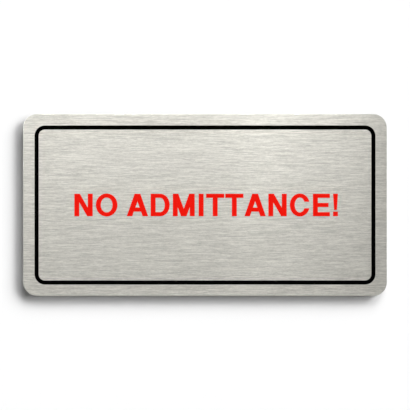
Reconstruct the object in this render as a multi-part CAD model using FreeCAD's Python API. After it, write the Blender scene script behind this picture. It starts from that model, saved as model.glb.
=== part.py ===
import FreeCAD
import Part
import os

# Flat door sign that tells people to stay out: a rectangular sheet-metal plate with rounded corners,
# a black border line and one line of red capitals printed on its face, and a strip of double-sided
# foam tape on its back that sticks it to a door or wall.
#
# Lengths are millimetres. +X runs to the reader's right, +Z is up and +Y goes into the wall. The
# origin is the centre of the tape's sticky outer face, so the wall is the plane Y = 0, and the
# sign stands out of it towards -Y.

# Plate: one sheet, cut to shape, with its front edge rounded over and its back edge deburred.
plate_width = 160.0
plate_height = 80.0
plate_thickness = 1.5
plate_corner_radius = 6.0
front_edge_round = 0.12
back_edge_break = 0.08

# Tape: one strip, cut square, stuck to the plate's back inside these margins.
tape_thickness = 1.0
tape_side_margin = 5.0
tape_top_margin = 15.0

# Print: cured ink, which stands a hair proud of the metal.
ink_thickness = 0.05

# Border line: the same distance inside the plate's edge all the way round.
border_inset = 5.0
border_line_width = 1.8
border_corner_radius = 4.6

# Lettering: one line of plain bold capitals at half the plate's height. It fills the width between
# its margins, which are measured from the border line's inner edge, and its height follows.
wording = "NO ADMITTANCE!"
lettering_left_margin = 15.7
lettering_right_margin = 14.7

# Letterforms, in cap heights.
stem_width = 0.22
bar_height = 0.182
slant_width = 0.246
round_overshoot = 0.012
apex_width = 0.256
crossbar_foot = 0.204
mouth_height = 0.286
short_bar_setback = 0.062
tip_width = 0.124
dot_height = 0.206
dot_gap = 0.068

# Spacing, in cap heights: the word space, and the gap beside a straight, a round or a slanting side.
word_space = 0.34
straight_gap = 0.088
round_gap = 0.05
slanting_gap = 0.023

# Planes that the pieces share, counted from the wall outwards.
wall_y = 0.0
plate_back_y = wall_y - tape_thickness
plate_front_y = plate_back_y - plate_thickness

towards_reader = FreeCAD.Vector(0, -1, 0)


def rounded_rectangle(width, height, radius, y):
    """Face of that outline in the plane Y = y, centred on the sign."""
    # Each corner has its signs, then the directions from its centre in which its arc starts and ends.
    corners = [
        (1, 1, (1, 0), (0, 1)),
        (-1, 1, (0, 1), (-1, 0)),
        (-1, -1, (-1, 0), (0, -1)),
        (1, -1, (0, -1), (1, 0)),
    ]
    arcs = []
    for sign_x, sign_z, start, end in corners:
        centre = FreeCAD.Vector(sign_x * (width / 2 - radius), y, sign_z * (height / 2 - radius))
        first = FreeCAD.Vector(start[0], 0, start[1])
        last = FreeCAD.Vector(end[0], 0, end[1])
        middle = (first + last).normalize()
        arcs.append(Part.Arc(centre + first * radius, centre + middle * radius, centre + last * radius))
    edges = []
    for arc, following in zip(arcs, arcs[1:] + arcs[:1]):
        edges.append(arc.toShape())
        edges.append(Part.LineSegment(arc.EndPoint, following.StartPoint).toShape())
    return Part.Face(Part.Wire(edges))


def edges_in_plane(solid, y):
    """The edges of a solid that lie wholly in the plane Y = y."""
    tolerance = 1e-6
    return [
        edge
        for edge in solid.Edges
        if abs(edge.BoundBox.YMin - y) < tolerance and abs(edge.BoundBox.YMax - y) < tolerance
    ]


def make_plate():
    outline = rounded_rectangle(plate_width, plate_height, plate_corner_radius, plate_back_y)
    blank = outline.extrude(towards_reader * plate_thickness)
    rounded = blank.makeFillet(front_edge_round, edges_in_plane(blank, plate_front_y))
    return rounded.makeChamfer(back_edge_break, edges_in_plane(rounded, plate_back_y))


def make_tape():
    length = plate_width - 2 * tape_side_margin
    width = plate_height - 2 * tape_top_margin
    corner = FreeCAD.Vector(-length / 2, plate_back_y, -width / 2)
    return Part.makeBox(length, tape_thickness, width, corner)


def make_border():
    outer_width = plate_width - 2 * border_inset
    outer_height = plate_height - 2 * border_inset
    outer = rounded_rectangle(outer_width, outer_height, border_corner_radius, plate_front_y)
    inner = rounded_rectangle(
        outer_width - 2 * border_line_width,
        outer_height - 2 * border_line_width,
        border_corner_radius - border_line_width,
        plate_front_y,
    )
    return outer.cut(inner).Faces[0].extrude(towards_reader * ink_thickness)


class Pen:
    """Draws letters as solid ink on the plate's face.

    A letter is drawn in cap heights: its foot is at 0, its top is at 1, and its left side is at 0.
    """

    def __init__(self, cap_height):
        self.cap_height = cap_height
        self.left = 0.0

    def place(self, x, z):
        return FreeCAD.Vector((self.left + x) * self.cap_height, plate_front_y, (z - 0.5) * self.cap_height)

    def ink(self, wire):
        return Part.Face(wire).extrude(towards_reader * ink_thickness)

    def polygon(self, *corners):
        points = [self.place(x, z) for x, z in corners]
        return self.ink(Part.makePolygon(points + points[:1]))

    def bar(self, left, foot, right, top):
        return self.polygon((left, foot), (right, foot), (right, top), (left, top))

    def stem(self, left):
        return self.bar(left, 0, left + stem_width, 1)

    def slant(self, top_left, foot_left):
        top_right = top_left + slant_width
        foot_right = foot_left + slant_width
        return self.polygon((top_left, 1), (top_right, 1), (foot_right, 0), (foot_left, 0))

    def oval(self, centre_x, half_width, half_height):
        centre = self.place(centre_x, 0.5)
        side = self.place(centre_x + half_width, 0.5)
        top = self.place(centre_x, 0.5 + half_height)
        longer, shorter = (top, side) if half_height >= half_width else (side, top)
        return self.ink(Part.Wire(Part.Ellipse(longer, shorter, centre).toShape()))

    def ring(self, width):
        """A round letter, drawn a little taller than the flat ones so that it looks as tall."""
        half_height = 0.5 + round_overshoot
        outer = self.oval(width / 2, width / 2, half_height)
        return outer.cut(self.oval(width / 2, width / 2 - stem_width, half_height - bar_height))


def joined(first, *others):
    return first.fuse(list(others)).removeSplitter()


def letter_a(pen, width):
    middle = width / 2
    half_apex = apex_width / 2
    triangle = pen.polygon((0, 0), (width, 0), (middle + half_apex, 1), (middle - half_apex, 1))
    inner_top = (middle - slant_width) / (middle - half_apex)
    inside = pen.polygon((slant_width, 0), (width - slant_width, 0), (middle, inner_top))
    crossbar = pen.bar(0, crossbar_foot, width, crossbar_foot + bar_height)
    return joined(triangle.cut(inside), crossbar.common(triangle))


def letter_c(pen, width):
    mouth = pen.bar(width / 2, 0.5 - mouth_height / 2, width, 0.5 + mouth_height / 2)
    return pen.ring(width).cut(mouth)


def letter_d(pen, width):
    # The bowl is half an oval, and starts at the letter's middle.
    middle = width / 2
    outer = joined(pen.bar(0, 0, middle, 1), pen.oval(middle, middle, 0.5))
    inner = joined(
        pen.bar(stem_width, bar_height, middle, 1 - bar_height),
        pen.oval(middle, middle - stem_width, 0.5 - bar_height),
    )
    return outer.cut(inner)


def letter_e(pen, width):
    middle_foot = 0.5 - bar_height / 2
    return joined(
        pen.stem(0),
        pen.bar(0, 0, width, bar_height),
        pen.bar(0, middle_foot, width - short_bar_setback, middle_foot + bar_height),
        pen.bar(0, 1 - bar_height, width, 1),
    )


def letter_i(pen, width):
    return pen.bar(0, 0, width, 1)


def letter_m(pen, width):
    foot_left = (width - slant_width) / 2
    return joined(
        pen.stem(0),
        pen.stem(width - stem_width),
        pen.slant(0, foot_left),
        pen.slant(width - slant_width, foot_left),
    )


def letter_n(pen, width):
    return joined(pen.stem(0), pen.stem(width - stem_width), pen.slant(0, width - slant_width))


def letter_o(pen, width):
    return pen.ring(width)


def letter_t(pen, width):
    return joined(pen.bar(0, 1 - bar_height, width, 1), pen.stem((width - stem_width) / 2))


def exclamation_mark(pen, width):
    """Two solids: a stroke that narrows downwards, and a dot."""
    foot = dot_height + dot_gap
    step_in = (width - tip_width) / 2
    stroke = pen.polygon((step_in, foot), (width - step_in, foot), (width, 1), (0, 1))
    return Part.makeCompound([stroke, pen.bar(0, 0, width, dot_height)])


# Each character: how it is drawn, then its width and the gaps on its left and right in cap heights.
alphabet = {
    "A": (letter_a, 0.953, slanting_gap, slanting_gap),
    "C": (letter_c, 0.891, round_gap, round_gap),
    "D": (letter_d, 0.85, straight_gap, round_gap),
    "E": (letter_e, 0.756, straight_gap, round_gap),
    "I": (letter_i, stem_width, straight_gap, straight_gap),
    "M": (letter_m, 0.974, straight_gap, straight_gap),
    "N": (letter_n, 0.819, straight_gap, straight_gap),
    "O": (letter_o, 0.964, round_gap, round_gap),
    "T": (letter_t, 0.808, slanting_gap, slanting_gap),
    "!": (exclamation_mark, stem_width, straight_gap, straight_gap),
}


def set_line(text):
    """Gives each character's left side from the line's start, and the line's length, in cap heights."""
    placed = []
    advance = 0.0
    for character in text:
        if character == " ":
            advance += word_space
            continue
        _, width, left_gap, right_gap = alphabet[character]
        placed.append((character, advance + left_gap))
        advance += left_gap + width + right_gap
    start = placed[0][1]
    end = advance - alphabet[text[-1]][3]
    return [(character, left - start) for character, left in placed], end - start


def make_lettering():
    placed, length = set_line(wording)
    inner_half_width = plate_width / 2 - border_inset - border_line_width
    line_left = -inner_half_width + lettering_left_margin
    line_right = inner_half_width - lettering_right_margin
    pen = Pen((line_right - line_left) / length)
    solids = []
    for character, left in placed:
        draw, width, _, _ = alphabet[character]
        pen.left = line_left / pen.cap_height + left
        solids += draw(pen, width).Solids
    print("cap height", round(pen.cap_height, 3), "mm")
    return Part.makeCompound(solids)


def main():
    os.makedirs("parts", exist_ok=True)
    pieces = {
        "plate": make_plate(),
        "mounting_tape": make_tape(),
        "border_print": make_border(),
        "lettering_print": make_lettering(),
    }
    for name, shape in pieces.items():
        shape.exportStep(f"parts/{name}.step")
        print(name, len(shape.Solids), "solid(s),", round(shape.Volume, 2), "mm3, valid", shape.isValid())


main()
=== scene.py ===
# %% [markdown]
# # A printed metal door sign
#
# The real sign is a sheet of brushed metal, 160 by 80 mm, with a black border line and a line of red
# capitals printed on it, and a strip of foam tape that holds it on a door. It is nearly flat, so what
# makes it convincing is small: the grain of the brushing, the rounded edge, the thin step of the ink,
# and the soft shadow of a plate that stands a few millimetres off a wall.
#
# The construction model is loaded first. It fixes every size and place, in metres: +X is the reader's
# right, +Z is up, and the printed face looks along -Y. The wall is the plane Y = 0.

# %% Load the construction model
import math

import bmesh
import bpy
from mathutils import Matrix, Vector


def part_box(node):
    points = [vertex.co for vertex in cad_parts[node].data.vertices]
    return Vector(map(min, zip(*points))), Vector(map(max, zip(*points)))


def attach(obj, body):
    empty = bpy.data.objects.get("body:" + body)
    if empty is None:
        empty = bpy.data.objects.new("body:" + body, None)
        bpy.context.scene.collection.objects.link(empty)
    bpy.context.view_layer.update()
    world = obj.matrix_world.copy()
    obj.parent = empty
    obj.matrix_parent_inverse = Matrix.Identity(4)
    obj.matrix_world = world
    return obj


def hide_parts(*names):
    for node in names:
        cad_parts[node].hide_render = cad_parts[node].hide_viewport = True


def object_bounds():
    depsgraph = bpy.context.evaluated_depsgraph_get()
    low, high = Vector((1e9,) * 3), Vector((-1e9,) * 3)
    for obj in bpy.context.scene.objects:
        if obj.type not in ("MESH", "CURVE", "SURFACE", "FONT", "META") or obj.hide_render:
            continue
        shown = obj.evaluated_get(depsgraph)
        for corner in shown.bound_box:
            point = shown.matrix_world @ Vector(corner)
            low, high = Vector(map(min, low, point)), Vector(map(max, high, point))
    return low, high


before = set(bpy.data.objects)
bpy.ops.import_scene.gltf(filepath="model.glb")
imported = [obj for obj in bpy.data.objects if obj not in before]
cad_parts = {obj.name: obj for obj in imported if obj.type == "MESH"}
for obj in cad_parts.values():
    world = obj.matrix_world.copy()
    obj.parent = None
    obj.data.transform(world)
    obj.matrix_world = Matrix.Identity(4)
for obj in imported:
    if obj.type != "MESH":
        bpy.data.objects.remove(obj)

MM = 0.001
cad_low, cad_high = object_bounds()
plate_low, plate_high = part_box("plate")
border_low, border_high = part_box("border_print")
lettering_low, lettering_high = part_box("lettering_print")
tape_low, tape_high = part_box("mounting_tape")
print("pieces:", sorted(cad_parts))
print("size in mm:", [round(side / MM, 2) for side in cad_high - cad_low])

# %% [markdown]
# Nodes do two jobs here: shader nodes colour a surface, and geometry nodes make a shape. Both kinds of
# tree are built the same way, so one helper serves both. It adds a node, sets its options, and fills
# each input with a plain value or with a link from another node's output.


# %% Node helpers
def node(tree, kind, inputs=None, **options):
    made = tree.nodes.new(kind)
    for option, value in options.items():
        setattr(made, option, value)
    for socket, value in (inputs or {}).items():
        if isinstance(value, bpy.types.NodeSocket):
            tree.links.new(value, made.inputs[socket])
        else:
            made.inputs[socket].default_value = value
    return made


def calculate(tree, operation, *values):
    """One step of arithmetic. Each value is a number or another node's output."""
    return node(tree, "ShaderNodeMath", dict(enumerate(values)), operation=operation).outputs[0]


def split(tree, vector):
    """The X, Y and Z of a vector, by name."""
    return node(tree, "ShaderNodeSeparateXYZ", {"Vector": vector}).outputs


def stretched(tree, value, from_range, to_range=(0.0, 1.0)):
    """Moves a value from one range to another, and holds it at the ends."""
    inputs = {
        "Value": value,
        "From Min": from_range[0],
        "From Max": from_range[1],
        "To Min": to_range[0],
        "To Max": to_range[1],
    }
    return node(tree, "ShaderNodeMapRange", inputs).outputs["Result"]


# %% [markdown]
# Every finish below is one principled shader whose colour, roughness and small relief all follow one
# pattern from 0 to 1. On a real surface they go together too: a deep groove is darker, rougher and
# lower than the land beside it. So one helper makes a whole finish from a pattern and those ranges.


# %% Finish helpers
def new_material(name):
    """A material that holds only the principled shader and its output."""
    material = bpy.data.materials.new(name)
    material.use_nodes = True
    return material, material.node_tree, material.node_tree.nodes["Principled BSDF"]


def shaded(tree, amount, colour, shades):
    """The colour times a factor that goes through the two shades as the amount goes from 0 to 1."""
    mix = node(tree, "ShaderNodeMix", data_type="RGBA")
    sockets = {socket.identifier: socket for socket in [*mix.inputs, *mix.outputs]}
    tree.links.new(amount, sockets["Factor_Float"])
    for name, share in zip(("A_Color", "B_Color"), shades):
        sockets[name].default_value = [part * share for part in colour] + [1.0]
    return sockets["Result_Color"]


def new_finish(name, pattern, colour, shades, roughness, relief, **settings):
    """The pattern is a function that is given the tree, and relief is how deep it looks, in metres.

    Settings are single values for the shader's own sockets, with _ for each space in their names.
    """
    material, tree, shader = new_material(name)
    amount = pattern(tree)
    bump = node(tree, "ShaderNodeBump", {"Height": amount, "Distance": relief})
    tree.links.new(shaded(tree, amount, colour, shades), shader.inputs["Base Color"])
    tree.links.new(stretched(tree, amount, (0.0, 1.0), roughness), shader.inputs["Roughness"])
    tree.links.new(bump.outputs["Normal"], shader.inputs["Normal"])
    for socket, value in settings.items():
        shader.inputs[socket.replace("_", " ")].default_value = value
    print("finish", name, "colour", colour, "roughness", roughness)
    return material


# %% [markdown]
# Brushing drags grit along the sheet. Each grain cuts one groove, dead straight and not much thicker
# than a hair. Stretched noise looks right from far away, but close up its streaks bend and branch, as
# in wood. So the height is cut into rows instead, and each row reads the same one-dimensional noise
# from a random start. The coordinates are the object's own, in metres, so a groove keeps its size.

# %% Grooves
# Rows start up to this many groove lengths apart in the noise.
row_shift = 1000.0
groove_noise = {"Scale": 1.0, "Detail": 5.0, "Roughness": 0.8}


def own_place(tree):
    return node(tree, "ShaderNodeTexCoord").outputs["Object"]


def grooves(tree, length, thickness, seed):
    """From 0 to 1. Each row is one groove, with bright and dark stretches of about that length."""
    place = split(tree, own_place(tree))
    row = calculate(tree, "FLOOR", calculate(tree, "DIVIDE", place["Z"], thickness))
    seeded = {"W": calculate(tree, "ADD", row, seed)}
    start = node(tree, "ShaderNodeTexWhiteNoise", seeded, noise_dimensions="1D").outputs["Value"]
    along = calculate(tree, "DIVIDE", place["X"], length)
    reading = {"W": calculate(tree, "MULTIPLY_ADD", start, row_shift, along)}
    return node(tree, "ShaderNodeTexNoise", reading | groove_noise, noise_dimensions="1D").outputs["Fac"]


def clouds(tree, size, seed, detail=2.0):
    """From 0 to 1. Soft blobs as long, deep and high as the three lengths of the size."""
    mapping = {
        "Vector": own_place(tree),
        "Location": (seed, seed, seed),
        "Scale": [1 / length for length in size],
    }
    drawn_out = node(tree, "ShaderNodeMapping", mapping).outputs["Vector"]
    settings = {"Vector": drawn_out, "Scale": 1.0, "Detail": detail}
    return node(tree, "ShaderNodeTexNoise", settings).outputs["Fac"]


def blend(tree, layers):
    """Adds layers, each of which is a share and an output. The shares come to 1."""
    total = 0.0
    for share, layer in layers:
        total = calculate(tree, "MULTIPLY_ADD", layer, share, total)
    return total


# %% [markdown]
# The face is bare metal, so its whole look is reflection. Grooves along X scatter light far up and
# down but hardly sideways. The shader's anisotropy does just that, once a tangent tells it which way
# to stretch a highlight: here up the plate, across the grooves. The tangent comes from a small map
# that the plate's mesh carries, so it stays right wherever the plate is used.

# %% Brushed face
metal_colour = (0.516, 0.505, 0.461)
grain_map = "grain"


def brushed_grain(tree):
    """From 0 to 1: hairlines, deeper grooves, long scores and broad bands."""
    layers = [
        (0.37, grooves(tree, 9.0 * MM, 0.10 * MM, seed=3.0)),
        (0.40, grooves(tree, 20.0 * MM, 0.22 * MM, seed=811.0)),
        (0.20, grooves(tree, 50.0 * MM, 0.36 * MM, seed=1613.0)),
        (0.03, clouds(tree, (60.0 * MM, 60.0 * MM, 3.5 * MM), seed=29.0)),
    ]
    return stretched(tree, blend(tree, layers), (0.435, 0.565))


brushed_face = new_finish(
    "brushed_face",
    brushed_grain,
    metal_colour,
    shades=(0.77, 1.23),
    roughness=(0.34, 0.30),
    relief=0.001 * MM,
    Metallic=1.0,
    Anisotropic=1.0,
)
face_tree = brushed_face.node_tree
tangent = node(face_tree, "ShaderNodeTangent", direction_type="UV_MAP", uv_map=grain_map)
face_tree.links.new(tangent.outputs["Tangent"], face_tree.nodes["Principled BSDF"].inputs["Tangent"])

# %% [markdown]
# The edge was cut by a tool that ran round the outline, so its marks lie in lines that follow the edge
# and are stacked through the sheet's thickness. The back still has the skin of the rolling mill: faint
# straight lines, and soft patches where it was handled.


# %% Cut edge and back
def tool_marks(tree):
    lines = clouds(tree, (6.0 * MM, 0.10 * MM, 6.0 * MM), seed=5.0)
    return stretched(tree, lines, (0.35, 0.65))


def mill_lines(tree):
    layers = [
        (0.35, grooves(tree, 45.0 * MM, 0.22 * MM, seed=57.0)),
        (0.25, grooves(tree, 12.0 * MM, 0.13 * MM, seed=359.0)),
        (0.40, clouds(tree, (22.0 * MM, 22.0 * MM, 14.0 * MM), seed=17.0, detail=4.0)),
    ]
    return stretched(tree, blend(tree, layers), (0.38, 0.62))


cut_edge = new_finish(
    "cut_edge",
    tool_marks,
    metal_colour,
    shades=(0.95, 1.15),
    roughness=(0.34, 0.24),
    relief=0.002 * MM,
    Metallic=1.0,
)
mill_back = new_finish(
    "mill_back",
    mill_lines,
    metal_colour,
    shades=(0.92, 1.22),
    roughness=(0.40, 0.30),
    relief=0.001 * MM,
    Metallic=1.0,
)

# %% [markdown]
# Printing ink dries to a satin film. It is so thin that the strongest grooves show through it as a
# faint ripple, and it lies a little unevenly, as specks. Both inks share one pattern, and differ in
# colour and gloss. The gloss is kept low, or the black would turn grey under the lamps.


# %% Inks
def ink_film(tree):
    layers = [
        (0.55, grooves(tree, 20.0 * MM, 0.22 * MM, seed=811.0)),
        (0.45, clouds(tree, (0.35 * MM, 0.35 * MM, 0.35 * MM), seed=41.0)),
    ]
    return stretched(tree, blend(tree, layers), (0.35, 0.65))


black_ink = new_finish(
    "black_ink",
    ink_film,
    (0.0004, 0.0004, 0.0004),
    shades=(0.8, 1.2),
    roughness=(0.50, 0.42),
    relief=0.001 * MM,
    Specular_IOR_Level=0.003,
)
red_ink = new_finish(
    "red_ink",
    ink_film,
    (0.78, 0.008, 0.003),
    shades=(0.95, 1.03),
    roughness=(0.50, 0.42),
    relief=0.001 * MM,
    Specular_IOR_Level=0.04,
)

# %% [markdown]
# The tape is a strip of white foam with a film of glue on both faces. Where the knife went through the
# foam, it opened small cells. The glued face is smoother and shinier, and a little mottled.


# %% Foam and glue
def foam_cells(tree):
    return stretched(tree, clouds(tree, (0.22 * MM, 0.22 * MM, 0.22 * MM), seed=2.0), (0.35, 0.65))


def glue_mottle(tree):
    layers = [
        (0.6, clouds(tree, (1.4 * MM, 1.4 * MM, 1.4 * MM), seed=71.0, detail=3.0)),
        (0.4, clouds(tree, (9.0 * MM, 9.0 * MM, 9.0 * MM), seed=13.0)),
    ]
    return stretched(tree, blend(tree, layers), (0.36, 0.64))


foam = new_finish(
    "foam",
    foam_cells,
    (0.80, 0.80, 0.77),
    shades=(0.88, 1.03),
    roughness=(0.75, 0.60),
    relief=0.03 * MM,
)
glue = new_finish(
    "glue",
    glue_mottle,
    (0.80, 0.79, 0.74),
    shades=(0.95, 1.03),
    roughness=(0.42, 0.26),
    relief=0.006 * MM,
)

# %% [markdown]
# Now the shapes. Plate, border line and tape are all rounded rectangles, so they share one node group.
# It draws the outline as a flat curve, moved inwards by an inset, so that a rounded edge can start on
# one outline and end on another. Every outline has as many points, so they weld together exactly.


# %% Rounded outline
def new_shape_tree(name, inputs):
    """A geometry node tree with those inputs and one geometry output."""
    tree = bpy.data.node_groups.new(name, "GeometryNodeTree")
    for label, kind in inputs.items():
        tree.interface.new_socket(label, in_out="INPUT", socket_type="NodeSocket" + kind)
    tree.interface.new_socket("Geometry", in_out="OUTPUT", socket_type="NodeSocketGeometry")
    return tree, tree.nodes.new("NodeGroupInput").outputs


outline_sizes = {"Width": "Float", "Height": "Float", "Corner Radius": "Float", "Corner Steps": "Int"}


def make_outline_group():
    tree, given = new_shape_tree("rounded outline", outline_sizes | {"Inset": "Float"})
    both_insets = calculate(tree, "MULTIPLY", given["Inset"], 2.0)
    sides = {name: calculate(tree, "SUBTRACT", given[name], both_insets) for name in ("Width", "Height")}
    corners = {
        "Curve": node(tree, "GeometryNodeCurvePrimitiveQuadrilateral", sides).outputs["Curve"],
        "Count": given["Corner Steps"],
        "Radius": calculate(tree, "SUBTRACT", given["Corner Radius"], given["Inset"]),
    }
    rounded = node(tree, "GeometryNodeFilletCurve", corners, mode="POLY").outputs["Curve"]
    level = node(tree, "GeometryNodeSetCurveNormal", {"Curve": rounded}, mode="Z_UP").outputs["Curve"]
    node(tree, "NodeGroupOutput", {"Geometry": level})
    return tree


outline_group = make_outline_group()
print("group", outline_group.name, "with", len(outline_group.nodes), "nodes")


def outline(tree, given, inset=0.0):
    """The shared outline inside another tree, with that tree's own sizes."""
    inputs = {name: given[name] for name in outline_sizes} | {"Inset": inset}
    return node(tree, "GeometryNodeGroup", inputs, node_tree=outline_group).outputs["Geometry"]


# %% [markdown]
# Each piece is drawn lying on its back, because a flat curve is easy to sweep and to fill, and is stood
# up at the end. An edge's section has x outwards and y down, and runs from the face to the back: then
# the swept faces point outwards. These helpers are the steps that the trees have in common.

# %% Steps that the trees share
weld_distance = 0.01 * MM
flat_facing = 0.999


def point(tree, x, y, z=0.0):
    return node(tree, "ShaderNodeCombineXYZ", {"X": x, "Y": y, "Z": z}).outputs["Vector"]


def straight(tree, start, end):
    ends = {"Start": point(tree, *start), "End": point(tree, *end)}
    return node(tree, "GeometryNodeCurvePrimitiveLine", ends).outputs["Curve"]


def moved(tree, geometry, **changes):
    return node(tree, "GeometryNodeTransform", {"Geometry": geometry, **changes}).outputs["Geometry"]


def joined(tree, *pieces):
    """Joins pieces in the given order. The socket puts its newest link first, so the last goes first."""
    join = node(tree, "GeometryNodeJoinGeometry")
    for piece in reversed(pieces):
        tree.links.new(piece, join.inputs["Geometry"])
    return join.outputs["Geometry"]


def swept(tree, path, section):
    curves = {"Curve": path, "Profile Curve": section}
    return node(tree, "GeometryNodeCurveToMesh", curves).outputs["Mesh"]


def filled(tree, edge):
    return node(tree, "GeometryNodeFillCurve", {"Curve": edge}, mode="NGONS").outputs["Mesh"]


def closed(tree, rim, front_edge, back_edge, thickness):
    """Fills the two flat outlines, and welds them to the rim between them."""
    front = moved(tree, filled(tree, front_edge), Translation=point(tree, 0.0, 0.0, thickness))
    back = node(tree, "GeometryNodeFlipFaces", {"Mesh": filled(tree, back_edge)}).outputs["Mesh"]
    parts = {"Geometry": joined(tree, rim, front, back), "Distance": weld_distance}
    return node(tree, "GeometryNodeMergeByDistance", parts).outputs["Geometry"]


def stood_up(tree, geometry, back_plane):
    """Turns the face towards -Y, and puts the back into its plane."""
    quarter_turn = (math.pi / 2, 0.0, 0.0)
    return moved(tree, geometry, Rotation=quarter_turn, Translation=point(tree, 0.0, back_plane))


def painted(tree, geometry, material, **limits):
    inputs = {"Geometry": geometry, "Material": material, **limits}
    return node(tree, "GeometryNodeSetMaterial", inputs).outputs["Geometry"]


def dressed(tree, geometry, all_over, front=None, back=None):
    """Ends a tree: a plain mesh with one material, or with others on its flat front and back."""
    plain = node(tree, "GeometryNodeRealizeInstances", {"Geometry": geometry}).outputs["Geometry"]
    made = painted(tree, plain, all_over)
    facing = split(tree, node(tree, "GeometryNodeInputNormal").outputs["Normal"])["Y"]
    sides = [("LESS_THAN", -flat_facing, front), ("GREATER_THAN", flat_facing, back)]
    for operation, limit, material in sides:
        if material:
            test = node(tree, "FunctionNodeCompare", {"A": facing, "B": limit}, operation=operation)
            made = painted(tree, made, material, Selection=test.outputs["Result"])
    node(tree, "NodeGroupOutput", {"Geometry": made})


# %% [markdown]
# A tree is run by a modifier. Its inputs are set first, each by the identifier of its socket, because
# the name is only a label. A second modifier weights the shading by area, so that a large flat face
# stays flat beside a rounded edge. Then the result is baked into a plain mesh, and the modifiers go,
# so that what is exported is what is seen. Two numbers test each mesh: a volume above zero means that
# its faces point outwards, and no open edge means that it is closed.


# %% Bake and measure
def measure(piece):
    work = bmesh.new()
    work.from_mesh(piece.data)
    volume = work.calc_volume(signed=True) / MM**3
    open_edges = sum(not edge.is_manifold for edge in work.edges)
    print(piece.name, len(work.faces), "faces,", round(volume, 2), "mm3,", open_edges, "open edges")
    work.free()


def place_in_scene(name, data):
    made = bpy.data.objects.new(name, data)
    bpy.context.scene.collection.objects.link(made)
    return made


def baked(maker):
    """The object's final shape as a plain mesh, and the object itself is taken away."""
    shape = maker.evaluated_get(bpy.context.evaluated_depsgraph_get())
    mesh = bpy.data.meshes.new_from_object(shape)
    bpy.data.objects.remove(maker)
    return mesh


def shape_from(tree, name, values):
    """Runs a tree with a value for each of its inputs, and gives the finished piece."""
    maker = place_in_scene(name, bpy.data.meshes.new(name))
    modifier = maker.modifiers.new("shape", "NODES")
    modifier.node_group = tree
    for item in tree.interface.items_tree:
        if item.in_out == "INPUT":
            modifier[item.identifier] = values[item.name]
    maker.modifiers.new("flat faces stay flat", "WEIGHTED_NORMAL").keep_sharp = True
    mesh = baked(maker)

    # A tree's mesh starts with an empty material slot that no face uses.
    if mesh.materials[0] is None:
        mesh.materials.pop(index=0)
    piece = place_in_scene(name, mesh)
    measure(piece)
    return piece


def stands_for(piece, node_name):
    """The piece rides on the sign, in the place of one piece of the construction model."""
    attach(piece, "root")
    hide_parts(node_name)


def size_of(low, high):
    return {"Width": high.x - low.x, "Height": high.z - low.z, "Thickness": high.y - low.y}


# %% [markdown]
# The plate is one sheet. Its front edge is rounded over, so that it doesn't cut a hand, and its back
# edge has only the burr taken off. A bevelled box could give that shape too, but in a tree the radius,
# the rounding and the number of steps stay named numbers, and each corner is an arc of even steps.


# %% Plate
def make_plate_tree():
    lengths = {"Thickness": "Float", "Front Round": "Float", "Back Break": "Float"}
    others = {"Round Steps": "Int", "Back Plane": "Float"}
    finishes = {"Face": "Material", "Edge": "Material", "Back": "Material"}
    tree, given = new_shape_tree("sign plate", outline_sizes | lengths | others | finishes)

    # The rim's section is the rounded front edge, the straight side, then the broken back edge.
    round_in = calculate(tree, "MULTIPLY", given["Front Round"], -1.0)
    break_in = calculate(tree, "MULTIPLY", given["Back Break"], -1.0)
    shoulder = calculate(tree, "SUBTRACT", given["Front Round"], given["Thickness"])
    quarter = {
        "Resolution": calculate(tree, "ADD", given["Round Steps"], 1.0),
        "Radius": given["Front Round"],
        "Start Angle": -math.pi / 2,
        "Sweep Angle": math.pi / 2,
    }
    rounding = node(tree, "GeometryNodeCurveArc", quarter).outputs["Curve"]
    section = joined(
        tree,
        moved(tree, rounding, Translation=point(tree, round_in, shoulder)),
        straight(tree, (0.0, shoulder), (0.0, break_in)),
        straight(tree, (0.0, break_in), (break_in, 0.0)),
    )
    rim = swept(tree, outline(tree, given), section)
    front_edge = outline(tree, given, given["Front Round"])
    back_edge = outline(tree, given, given["Back Break"])
    sheet = closed(tree, rim, front_edge, back_edge, given["Thickness"])
    sheet = stood_up(tree, sheet, given["Back Plane"])

    # The map's first direction runs up the plate, across the grain.
    place = split(tree, node(tree, "GeometryNodeInputPosition").outputs["Position"])
    grain = {"Geometry": sheet, "Name": grain_map, "Value": point(tree, place["Z"], place["X"])}
    mapped = node(tree, "GeometryNodeStoreNamedAttribute", grain, data_type="FLOAT2", domain="CORNER")
    dressed(tree, mapped.outputs["Geometry"], given["Edge"], given["Face"], given["Back"])
    return tree


plate_sizes = size_of(plate_low, plate_high) | {
    "Corner Radius": 6.0 * MM,
    "Corner Steps": 24,
    "Front Round": 0.12 * MM,
    "Round Steps": 6,
    "Back Break": 0.08 * MM,
    "Back Plane": plate_high.y,
}
plate_finishes = {"Face": brushed_face, "Edge": cut_edge, "Back": mill_back}
plate = shape_from(make_plate_tree(), "brushed_plate", plate_sizes | plate_finishes)
stands_for(plate, "plate")

# %% [markdown]
# The border line is a closed ring of ink. A section as wide as the line and as high as the film is
# swept round the middle of the line, so the width is the same on the straights and in the corners. Wet
# ink draws back at its edges, so the section's corners are rounded by a hundredth of a millimetre.

# %% Border line
ink_round = 0.012 * MM


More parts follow.
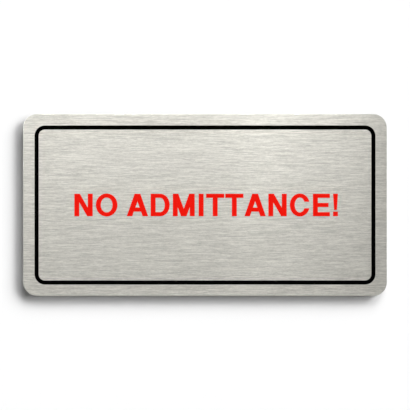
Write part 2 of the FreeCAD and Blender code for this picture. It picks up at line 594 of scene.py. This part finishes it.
def make_border_tree():
    lengths = {"Thickness": "Float", "Line Width": "Float", "Ink Round": "Float", "Back Plane": "Float"}
    tree, given = new_shape_tree("border line", outline_sizes | lengths | {"Ink": "Material"})
    film = {"Width": given["Line Width"], "Height": given["Thickness"]}
    corners = {
        "Curve": node(tree, "GeometryNodeCurvePrimitiveQuadrilateral", film).outputs["Curve"],
        "Count": 3,
        "Radius": given["Ink Round"],
    }
    section = node(tree, "GeometryNodeFilletCurve", corners, mode="POLY").outputs["Curve"]
    half_down = calculate(tree, "MULTIPLY", given["Thickness"], -0.5)
    section = moved(tree, section, Translation=point(tree, 0.0, half_down))
    half_line = calculate(tree, "MULTIPLY", given["Line Width"], 0.5)
    ring = swept(tree, outline(tree, given, half_line), section)
    dressed(tree, stood_up(tree, ring, given["Back Plane"]), given["Ink"])
    return tree


border_sizes = size_of(border_low, border_high) | {
    "Corner Radius": 4.6 * MM,
    "Corner Steps": 24,
    "Line Width": 1.8 * MM,
    "Ink Round": ink_round,
    "Back Plane": border_high.y,
}
border = shape_from(make_border_tree(), "border_line", border_sizes | {"Ink": black_ink})
stands_for(border, "border_print")

# %% [markdown]
# Each capital is a flat shape with straight sides and parts of ovals. It could be cut from solids, but
# a filled curve needs only its outlines, and the holes come by themselves: any loop inside another is
# a hole. Letters are drawn one cap height tall, so all the numbers below are shares of that height.
# Stems are a little wider than bars are high, because equal strokes would look heavier lying down.

# %% Sizes of the letterforms
stem_width = 0.22
bar_height = 0.182
slant_width = 0.246
round_overshoot = 0.012
apex_width = 0.256
crossbar_foot = 0.204
mouth_height = 0.286
short_bar_setback = 0.062
tip_width = 0.124
dot_height = 0.206
dot_gap = 0.068
print("stem to bar:", round(stem_width / bar_height, 2))

# %% [markdown]
# A letter with straight sides is one loop of corners, listed anticlockwise. The A has a second loop
# for its hole, and the exclamation mark has one for its dot. Where a letter is the same turned round
# or mirrored, as N and M are, half of its corners are listed and the other half follows from them.


# %% Straight letters
def box(left, foot, right, top):
    return [(left, foot), (right, foot), (right, top), (left, top)]


def letter_a(width):
    """The legs' inner sides lean towards each other, and the crossbar's ends follow their slope."""
    middle = width / 2
    half_apex = apex_width / 2
    inner_top = (middle - slant_width) / (middle - half_apex)
    bar_top = crossbar_foot + bar_height

    def inner_side(height):
        return slant_width + (middle - slant_width) * height / inner_top

    legs = [(0, 0), (slant_width, 0), (inner_side(crossbar_foot), crossbar_foot)]
    legs += [(width - x, z) for x, z in reversed(legs)]
    outside = [*legs, (middle + half_apex, 1), (middle - half_apex, 1)]
    hole = [(inner_side(bar_top), bar_top), (width - inner_side(bar_top), bar_top), (middle, inner_top)]
    return [outside, hole]


def letter_e(width):
    short = width - short_bar_setback
    low, high = 0.5 - bar_height / 2, 0.5 + bar_height / 2
    foot_bar = [(0, 0), (width, 0), (width, bar_height), (stem_width, bar_height)]
    middle_bar = [(stem_width, low), (short, low), (short, high), (stem_width, high)]
    top_bar = [(stem_width, 1 - bar_height), (width, 1 - bar_height), (width, 1), (0, 1)]
    return [foot_bar + middle_bar + top_bar]


def letter_i(width):
    return [box(0, 0, width, 1)]


def letter_m(width):
    """The slants leave the stems at the notch, and their upper sides meet in the middle."""
    foot_left = (width - slant_width) / 2
    notch = 1 - stem_width / foot_left
    meeting = 1 - (width / 2 - slant_width) / foot_left
    left_half = [(0, 0), (stem_width, 0), (stem_width, notch), (foot_left, 0)]
    right_half = [(width - x, z) for x, z in reversed(left_half)]
    top = [(width, 1), (width - slant_width, 1), (width / 2, meeting), (slant_width, 1), (0, 1)]
    return [left_half + right_half + top]


def letter_n(width):
    """The slant's lower side leaves the left stem at the notch. Turned round, it is the upper side."""
    reach = width - slant_width
    notch = 1 - stem_width / reach
    lower_half = [(0, 0), (stem_width, 0), (stem_width, notch), (reach, 0), (width, 0)]
    upper_half = [(width - x, 1 - z) for x, z in lower_half]
    return [lower_half + upper_half]


def letter_t(width):
    left, right = (width - stem_width) / 2, (width + stem_width) / 2
    under = 1 - bar_height
    stem = [(left, under), (left, 0), (right, 0), (right, under)]
    return [[*stem, (width, under), (width, 1), (0, 1), (0, under)]]


def exclamation_mark(width):
    foot = dot_height + dot_gap
    step_in = (width - tip_width) / 2
    stroke = [(step_in, foot), (width - step_in, foot), (width, 1), (0, 1)]
    return [stroke, box(0, 0, width, dot_height)]


# %% [markdown]
# C and O are ovals that reach a little past head and foot, because a curve that only just met the
# line would look too small. The D's bowl is half an oval, and its stem keeps it to the line. An oval
# could be a smooth spline, but short straight steps are enough at this size, and their ends can be
# placed exactly, as at the mouth of the C.

# %% Round letters
arc_step = math.radians(4.0)


def arc(middle, half_width, half_height, start, end):
    """Points on an oval halfway up the letter, from one angle to another."""
    steps = round(abs(end - start) / arc_step)
    angles = [start + (end - start) * step / steps for step in range(steps + 1)]
    return [(middle + half_width * math.cos(a), 0.5 + half_height * math.sin(a)) for a in angles]


def ring_sizes(width):
    """Half the width and height of a round letter's outer oval, then of its inner one."""
    outer = (width / 2, 0.5 + round_overshoot)
    return outer, (outer[0] - stem_width, outer[1] - bar_height)


def letter_c(width):
    outer, inner = ring_sizes(width)
    outer_lip, inner_lip = (math.asin(mouth_height / 2 / oval[1]) for oval in (outer, inner))
    outer_side = arc(width / 2, *outer, outer_lip, math.tau - outer_lip)
    inner_side = arc(width / 2, *inner, math.tau - inner_lip, inner_lip)
    return [outer_side + inner_side]


def letter_d(width):
    middle = width / 2
    bowl = arc(middle, middle, 0.5, -math.pi / 2, math.pi / 2)
    hollow = arc(middle, middle - stem_width, 0.5 - bar_height, -math.pi / 2, math.pi / 2)
    return [[(0, 0), *bowl, (0, 1)], [(stem_width, bar_height), *hollow, (stem_width, 1 - bar_height)]]


def letter_o(width):
    return [arc(width / 2, *oval, 0, math.tau)[:-1] for oval in ring_sizes(width)]


# %% [markdown]
# A line of type is set by adding up widths and gaps. Two round letters need less air between them than
# two straight ones, so each side of a letter has a gap of its own. The construction model says where
# the line starts and ends, and the cap height follows from that.

# %% Set the line of capitals
wording = "NO ADMITTANCE!"
word_space = 0.34
straight_gap = 0.088
round_gap = 0.05
slanting_gap = 0.023

# Each character: how it is drawn, then its width and the gaps on its left and right in cap heights.
alphabet = {
    "A": (letter_a, 0.953, slanting_gap, slanting_gap),
    "C": (letter_c, 0.891, round_gap, round_gap),
    "D": (letter_d, 0.85, straight_gap, round_gap),
    "E": (letter_e, 0.756, straight_gap, round_gap),
    "I": (letter_i, stem_width, straight_gap, straight_gap),
    "M": (letter_m, 0.974, straight_gap, straight_gap),
    "N": (letter_n, 0.819, straight_gap, straight_gap),
    "O": (letter_o, 0.964, round_gap, round_gap),
    "T": (letter_t, 0.808, slanting_gap, slanting_gap),
    "!": (exclamation_mark, stem_width, straight_gap, straight_gap),
}


def set_line(text):
    """The loops of a whole line, in cap heights, and its length."""
    loops = []
    left = -alphabet[text[0]][2]
    for character in text:
        if character == " ":
            left += word_space
            continue
        draw, width, left_gap, right_gap = alphabet[character]
        left += left_gap
        loops += [[(left + x, z) for x, z in loop] for loop in draw(width)]
        left += width + right_gap
    return loops, left - alphabet[text[-1]][3]


line_loops, line_length = set_line(wording)
print("the line is", round(line_length, 3), "cap heights long, in", len(line_loops), "loops")

# %% [markdown]
# The loops go into one flat curve. Its extrusion gives the ink its thickness and its bevel rounds the
# edges, as in the border line. It is made a mesh before it is stood up, so that its place is in the
# mesh. A curve's front, sides and back are separate sheets that only touch, so the seams are welded.


# %% Lettering
seam_gap = 0.0005 * MM


def flat_curve(name, loops, scale):
    """Closed loops in the XY plane, with half the cap height below the X axis."""
    curve = bpy.data.curves.new(name, "CURVE")
    curve.dimensions = "2D"
    curve.fill_mode = "BOTH"
    for loop in loops:
        spline = curve.splines.new("POLY")
        spline.points.add(len(loop) - 1)
        spline.use_cyclic_u = True
        for corner, (x, z) in zip(spline.points, loop):
            corner.co = (x * scale, (z - 0.5) * scale, 0.0, 1.0)
    return curve


def make_lettering(name, material):
    cap_height = (lettering_high.x - lettering_low.x) / line_length
    curve = flat_curve(name, line_loops, cap_height)

    # The bevel adds to the thickness and to the outline, so both start that much smaller.
    film = lettering_high.y - lettering_low.y
    curve.extrude = film / 2 - ink_round
    curve.bevel_depth = ink_round
    curve.bevel_resolution = 2
    curve.offset = -ink_round
    mesh = baked(place_in_scene(name, curve))
    start = Vector((lettering_low.x, lettering_low.y + film / 2, 0.0))
    mesh.transform(Matrix.Translation(start) @ Matrix.Rotation(math.pi / 2, 4, "X"))
    mesh.materials.append(material)
    print("cap height in mm:", round(cap_height / MM, 3))
    return place_in_scene(name, mesh)


def weld_seams(piece):
    """Joins points that lie together, and turns every face outwards."""
    work = bmesh.new()
    work.from_mesh(piece.data)
    bmesh.ops.remove_doubles(work, verts=work.verts, dist=seam_gap)
    bmesh.ops.recalc_face_normals(work, faces=work.faces)
    work.to_mesh(piece.data)
    work.free()


lettering = make_lettering("lettering", red_ink)
weld_seams(lettering)
measure(lettering)
stands_for(lettering, "lettering_print")

# %% [markdown]
# The tape is cut square and lies inside the plate's outline. Its foam gives a little between the two
# films of glue, and the cut opened its cells, so its edge is hollow and uneven. The outline is cut
# into short steps, and each point of the foam's edge is moved inwards by noise: nothing at the films,
# and most halfway between them, so the foam stays welded to both.


# %% Foam tape
def hollowed(tree, foam_edge, given):
    """Moves each point inwards by noise, more the further it is from both films."""
    place = node(tree, "GeometryNodeInputPosition").outputs["Position"]
    foam_top = calculate(tree, "SUBTRACT", given["Thickness"], given["Film"])
    up = stretched(tree, split(tree, place)["Z"], (given["Film"], foam_top))
    down = calculate(tree, "SUBTRACT", 1.0, up)
    belly = calculate(tree, "MULTIPLY", calculate(tree, "MULTIPLY", up, down), 4.0)
    fineness = calculate(tree, "DIVIDE", 1.0, given["Cell Size"])
    settings = {"Vector": place, "W": given["Seed"], "Scale": fineness, "Detail": 1.0}
    noise = node(tree, "ShaderNodeTexNoise", settings, noise_dimensions="4D").outputs["Fac"]
    cells = stretched(tree, noise, (0.3, 0.7), (0.2, 1.0))
    depth = calculate(tree, "MULTIPLY", calculate(tree, "MULTIPLY", belly, cells), given["Cell Depth"])
    outwards = node(tree, "GeometryNodeInputNormal").outputs["Normal"]
    scaling = {"Vector": outwards, "Scale": calculate(tree, "MULTIPLY", depth, -1.0)}
    offset = node(tree, "ShaderNodeVectorMath", scaling, operation="SCALE").outputs["Vector"]
    move = {"Geometry": foam_edge, "Offset": offset}
    return node(tree, "GeometryNodeSetPosition", move).outputs["Geometry"]


def make_tape_tree():
    lengths = {"Thickness": "Float", "Film": "Float", "Cell Size": "Float", "Cell Depth": "Float"}
    others = {"Rows": "Int", "Seed": "Float", "Back Plane": "Float"}
    finishes = {"Foam": "Material", "Glue": "Material"}
    tree, given = new_shape_tree("foam tape", outline_sizes | lengths | others | finishes)
    half_cell = calculate(tree, "MULTIPLY", given["Cell Size"], 0.5)
    path = {"Curve": outline(tree, given), "Length": half_cell}
    path = node(tree, "GeometryNodeResampleCurve", path, mode="LENGTH").outputs["Curve"]

    # The edge's section is the front film, the foam and the back film, and only the foam has rows.
    front = calculate(tree, "MULTIPLY", given["Thickness"], -1.0)
    foam_front = calculate(tree, "ADD", front, given["Film"])
    foam_back = calculate(tree, "MULTIPLY", given["Film"], -1.0)
    films = joined(
        tree,
        straight(tree, (0.0, front), (0.0, foam_front)),
        straight(tree, (0.0, foam_back), (0.0, 0.0)),
    )
    rows = {"Curve": straight(tree, (0.0, foam_front), (0.0, foam_back)), "Count": given["Rows"]}
    foam_line = node(tree, "GeometryNodeResampleCurve", rows).outputs["Curve"]
    foam_edge = hollowed(tree, swept(tree, path, foam_line), given)
    rim = joined(tree, foam_edge, swept(tree, path, films))
    strip = stood_up(tree, closed(tree, rim, path, path, given["Thickness"]), given["Back Plane"])
    dressed(tree, strip, given["Foam"], given["Glue"], given["Glue"])
    return tree


tape_sizes = size_of(tape_low, tape_high) | {
    "Corner Radius": 0.3 * MM,
    "Corner Steps": 3,
    "Film": 0.08 * MM,
    "Rows": 9,
    "Cell Size": 0.4 * MM,
    "Cell Depth": 0.14 * MM,
    "Seed": 7.0,
    "Back Plane": tape_high.y,
}
tape = shape_from(make_tape_tree(), "foam_tape", tape_sizes | {"Foam": foam, "Glue": glue})
stands_for(tape, "mounting_tape")

# %% [markdown]
# The stage is a white wall behind the sign and a floor below it. The wall is matt white paint, lit to
# just over full white, so that it comes out pure white but keeps the sign's soft shadow. It can be
# seen through from behind, casts no shadow and isn't mirrored, so the sign's back can be looked at
# and lit as well. The floor lights the metal from below, and is grey paint, because white would be
# too strong. A glow that only the camera sees makes it look white.


# %% Wall and floor
def stage_white(name, paint, camera_glow=0.0, see_through_behind=False):
    """Matt grey or white paint. Its glow is seen by the camera alone, and lights nothing."""
    material, tree, shader = new_material(name)
    tree.nodes.remove(shader)
    path = node(tree, "ShaderNodeLightPath")
    strength = calculate(tree, "MULTIPLY", path.outputs["Is Camera Ray"], camera_glow)
    diffuse = node(tree, "ShaderNodeBsdfDiffuse", {"Color": (paint, paint, paint, 1.0)}).outputs["BSDF"]
    emission = node(tree, "ShaderNodeEmission", {"Strength": strength}).outputs["Emission"]
    surface = node(tree, "ShaderNodeAddShader", {0: diffuse, 1: emission}).outputs["Shader"]
    if see_through_behind:
        behind = node(tree, "ShaderNodeNewGeometry").outputs["Backfacing"]
        clear = node(tree, "ShaderNodeBsdfTransparent").outputs["BSDF"]
        surface = node(tree, "ShaderNodeMixShader", {0: behind, 1: surface, 2: clear}).outputs["Shader"]
    tree.links.new(surface, tree.nodes["Material Output"].inputs["Surface"])
    return material


def make_sheet(name, corners, material):
    mesh = bpy.data.meshes.new(name)
    mesh.from_pydata(corners, [], [(0, 1, 2, 3)])
    mesh.materials.append(material)
    sheet = place_in_scene(name, mesh)
    print("stage:", name)
    return sheet


floor_height = -0.14
floor_reach = 4.0
wall_reach = 0.35
wall_gap = 0.02 * MM
floor_white = stage_white("floor_white", paint=0.24, camera_glow=0.62)
wall_white = stage_white("wall_white", paint=0.92, see_through_behind=True)

# The wall lies a hair behind the sticky face, so that the two are never in one plane.
corner_signs = ((-1, -1), (1, -1), (1, 1), (-1, 1))
floor_corners = [(x * floor_reach, y * floor_reach, floor_height) for x, y in corner_signs]
wall_corners = [(x * wall_reach, wall_gap, max(z * wall_reach, floor_height)) for x, z in corner_signs]
floor = make_sheet("floor", floor_corners, floor_white)
wall = make_sheet("wall", wall_corners, wall_white)
floor.visible_diffuse = False
wall.visible_diffuse = False
wall.visible_glossy = False
wall.visible_transmission = False
wall.visible_shadow = False

# %% [markdown]
# The camera looks straight at the sign from half a metre away, with a long lens. Its place follows
# from the width that the picture shows at the sign's face.

# %% Camera
view_width = 180.4 * MM
sensor_width = 36.0
lens = 100.0
camera_data = bpy.data.cameras.new("camera")
camera_data.sensor_width = sensor_width
camera_data.lens = lens
camera = place_in_scene("camera", camera_data)
camera.location = (0.0, cad_low.y - view_width * lens / sensor_width, 0.0)
camera.rotation_euler = (math.pi / 2, 0.0, 0.0)
bpy.context.scene.camera = camera
print("camera at", [round(value, 3) for value in camera.location])

# %% [markdown]
# Two kinds of light are needed, and they are kept apart. The first kind lights what is matt: wall, ink
# and foam. Four soft suns stand in a quarter circle, from right of the sign to above it. Together
# they light the wall as a plain white, and because their shadows overlap, the sign's shadow is dark
# beside the plate and fades out softly, also round the corners. One more sun shines along the wall
# into the gap behind the plate, and one lights the back.


# %% Lamps and suns
def add_lamp(name, data, place, target):
    """The camera doesn't see the lamp itself, only its light."""
    lamp = place_in_scene(name, data)
    lamp.location = place
    lamp.rotation_mode = "QUATERNION"
    lamp.rotation_quaternion = (Vector(target) - Vector(place)).to_track_quat("-Z", "Y")
    lamp.visible_camera = False
    print("lamp", name, "energy", round(data.energy, 4))
    return lamp


sign_middle = (0.0, 0.0, 0.0)


def add_sun(name, place, degrees_wide, strength):
    """Only the direction from the sign's middle to the place counts. The metal doesn't mirror it."""
    data = bpy.data.lights.new(name, "SUN")
    data.angle = math.radians(degrees_wide)
    data.energy = strength
    add_lamp(name, data, place, sign_middle).visible_glossy = False


# Each sun has a place, and its share of the light on the wall. A slanting light has to be stronger
# for the same share. Every place is 1 m off the wall, so its distance is how much stronger.
soft_width = 24.0
narrow_width = 2.0
wall_light = 3.2
wall_suns = [
    ("side_key", (2.2, -1.0, 0.2), 0.21),
    ("key", (2.2, -1.0, 1.5), 0.44),
    ("high_key", (1.1, -1.0, 2.5), 0.22),
    ("top_key", (0.2, -1.0, 2.2), 0.13),
]
for name, place, share in wall_suns:
    add_sun(name, place, soft_width, wall_light * share * Vector(place).length)
add_sun("gap_sun", (1.0, 0.0, 0.0), narrow_width, 0.8)
add_sun("back_sun", (-0.5, 0.7, 0.1), soft_width, 3.9)

# %% [markdown]
# The second kind is what the metal mirrors: the white world, the floor, and dim panels that nothing
# else sees. Two wide panels close above the camera's line of sight make the plate's soft gradient,
# and a narrow strip makes its bright patch. Being close, they are mirrored more strongly by its top
# than by its foot, and they end where its right end would mirror them, so it darkens there. One more
# panel is there for a view from the side, and one for the back. The wall sees the plate's back too,
# and would find a panel mirrored there, so a panel is off for light that has met a matt surface.


# %% Mirrored panels
def before_matt(tree):
    """1 as long as the way from the camera has met no matt surface, and else 0."""
    path = node(tree, "ShaderNodeLightPath").outputs
    return calculate(tree, "LESS_THAN", path["Diffuse Depth"], 0.5)


def add_mirrored_panel(name, place, target, size, watts):
    data = bpy.data.lights.new(name, "AREA")
    data.shape = "RECTANGLE"
    data.size, data.size_y = size
    data.energy = watts
    data.use_nodes = True
    tree = data.node_tree
    tree.links.new(before_matt(tree), tree.nodes["Emission"].inputs["Strength"])
    add_lamp(name, data, place, target).visible_diffuse = False


# Each panel has a place, the point that it faces, its width and height, and its power in watts.
panels = [
    ("low_panel", (-0.029, -0.20, 0.12), (-0.029, 0.0, 0.04), (0.282, 0.04), 0.158),
    ("high_panel", (-0.027, -0.12, 0.30), (-0.027, 0.0, 0.04), (0.256, 0.04), 0.623),
    ("strip", (0.034, -0.12, 0.14), (0.034, 0.0, 0.04), (0.02, 0.06), 0.0119),
    ("side_panel", (-0.9, -0.9, 0.35), (-0.1, 0.0, 0.04), (1.0, 0.6), 8.0),
    ("back_panel", (0.17, 0.20, -0.06), sign_middle, (0.14, 0.14), 0.03),
]
for panel in panels:
    add_mirrored_panel(*panel)

# %% [markdown]
# The world is white. The camera, and rays that were mirrored by metal, see it at full strength. As
# light on the stage it is kept weak, or it would fill in the shadow, and so is its mirror image in
# the plate's back that the wall sees.

# %% World
ambient = 0.12
world = bpy.data.worlds.new("studio")
bpy.context.scene.world = world
world.use_nodes = True
world_tree = world.node_tree
path = node(world_tree, "ShaderNodeLightPath").outputs
mirrored = calculate(world_tree, "MAXIMUM", path["Is Glossy Ray"], path["Is Transmission Ray"])
seen = calculate(world_tree, "MAXIMUM", mirrored, path["Is Camera Ray"])
seen = calculate(world_tree, "MULTIPLY", seen, before_matt(world_tree))
strength = stretched(world_tree, seen, (0.0, 1.0), (ambient, 1.0))
background = world_tree.nodes["Background"]
background.inputs["Color"].default_value = (1.0, 1.0, 1.0, 1.0)
world_tree.links.new(strength, background.inputs["Strength"])
bpy.context.scene.view_settings.view_transform = "Standard"
print("world:", world.name, "with ambient light", ambient)
